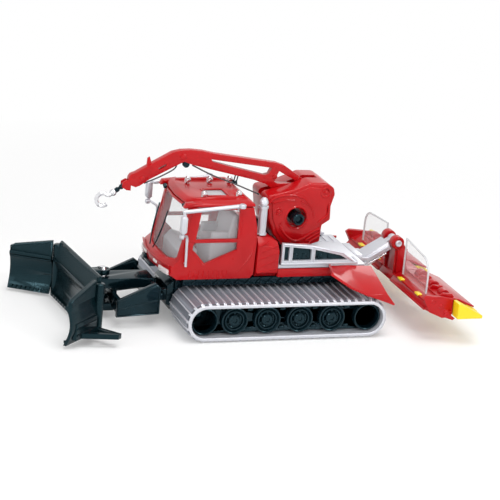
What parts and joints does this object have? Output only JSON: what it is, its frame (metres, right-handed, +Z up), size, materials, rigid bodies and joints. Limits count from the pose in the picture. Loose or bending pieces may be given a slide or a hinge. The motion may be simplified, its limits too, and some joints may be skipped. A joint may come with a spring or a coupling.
{
  "type": "toy snow groomer with winch boom",
  "caption": "Toy snow groomer on two wide tracks, with a glazed cab, a slewing winch boom and hook, a folding front blade and a lifting rear tiller.",
  "frame": {"origin": "middle of the footprint on the ground under the tracks", "axes": "+Z up, -Y the way the machine drives, +X its left side"},
  "size_m": [0.112, 0.207, 0.0808],
  "materials": {
    "red_paint": "glossy",
    "black_plastic": "gloss",
    "silver_plastic": "satin silver",
    "clear_plastic": "clear",
    "yellow_plastic": "gloss",
    "grey_plastic": "satin",
    "dark_thread": "matt"
  },
  "bodies": {
    "carrier": {"chassis": "black_plastic", "track_left": "silver_plastic", "track_right": "silver_plastic", "roller_frame_left": "black_plastic", "roller_frame_right": "black_plastic", "cab_body": "red_paint", "cab_roof": "red_paint", "roof_hatch": "clear_plastic", "windscreen": "clear_plastic", "side_window_left": "clear_plastic", "side_window_right": "clear_plastic", "rear_window": "clear_plastic", "cab_seat": "grey_plastic", "cab_console": "grey_plastic", "side_rail_left": "silver_plastic", "side_rail_right": "silver_plastic", "engine_hood": "red_paint", "exhaust": "silver_plastic", "deck_edge": "red_paint", "deck": "silver_plastic", "deck_side_left": "silver_plastic", "deck_side_right": "silver_plastic", "winch_ring": "black_plastic", "rear_fender_left": "red_paint", "rear_fender_right": "red_paint", "tow_block": "silver_plastic"},
    "winch": {"winch_housing": "red_paint", "boom": "red_paint", "rope_rear": "dark_thread", "rope_front": "dark_thread"},
    "drum": {"winch_drum": "black_plastic"},
    "hook": {"hook_ferrule": "black_plastic", "hook": "silver_plastic"},
    "blade_frame": {"push_frame": "black_plastic", "blade_post": "black_plastic"},
    "blade": {"blade_centre": "black_plastic"},
    "wing_left": {"blade_wing_left": "black_plastic"},
    "wing_right": {"blade_wing_right": "black_plastic"},
    "tiller_arm": {"lift_arm": "silver_plastic", "lift_rod": "silver_plastic"},
    "tiller": {"tiller_bracket": "red_paint", "tiller_half_left": "red_paint", "tiller_half_right": "red_paint", "tiller_comb_left": "yellow_plastic", "tiller_comb_right": "yellow_plastic", "tiller_shield_left": "clear_plastic", "tiller_shield_right": "clear_plastic"}
  },
  "joints": [
    {"name": "winch_slew", "type": "hinge", "parent": "carrier", "child": "winch", "pos_m": [0, 0.0233, 0.036], "axis": [0, 0, 1], "continuous": true},
    {"name": "drum_spin", "type": "hinge", "parent": "winch", "child": "drum", "pos_m": [0, 0.0221, 0.0502], "axis": [1, 0, 0], "continuous": true},
    {"name": "hook_swing", "type": "hinge", "parent": "winch", "child": "hook", "pos_m": [0, -0.0603, 0.064], "axis": [1, 0, 0], "range_deg": [-30, 65]},
    {"name": "blade_lift", "type": "hinge", "parent": "carrier", "child": "blade_frame", "pos_m": [0, -0.0422, 0.0125], "axis": [-1, 0, 0], "range_deg": [-1.5, 25]},
    {"name": "blade_swivel", "type": "hinge", "parent": "blade_frame", "child": "blade", "pos_m": [0, -0.0677, 0.0125], "axis": [0, 0, 1], "range_deg": [-20, 15]},
    {"name": "wing_fold_left", "type": "hinge", "parent": "blade", "child": "wing_left", "pos_m": [0.02896, -0.07741, 0.0125], "axis": [0, 0, -1], "range_deg": [-58, 7]},
    {"name": "wing_fold_right", "type": "hinge", "parent": "blade", "child": "wing_right", "pos_m": [-0.02683, -0.08229, 0.0125], "axis": [0, 0, 1], "range_deg": [-58, 7]},
    {"name": "tiller_lift", "type": "hinge", "parent": "carrier", "child": "tiller_arm", "pos_m": [0, 0.0619, 0.0252], "axis": [1, 0, 0], "range_deg": [-19, 12]},
    {"name": "tiller_pitch", "type": "hinge", "parent": "tiller_arm", "child": "tiller", "pos_m": [0, 0.0783, 0.0348], "axis": [1, 0, 0], "range_deg": [-5, 25]}
  ]
}
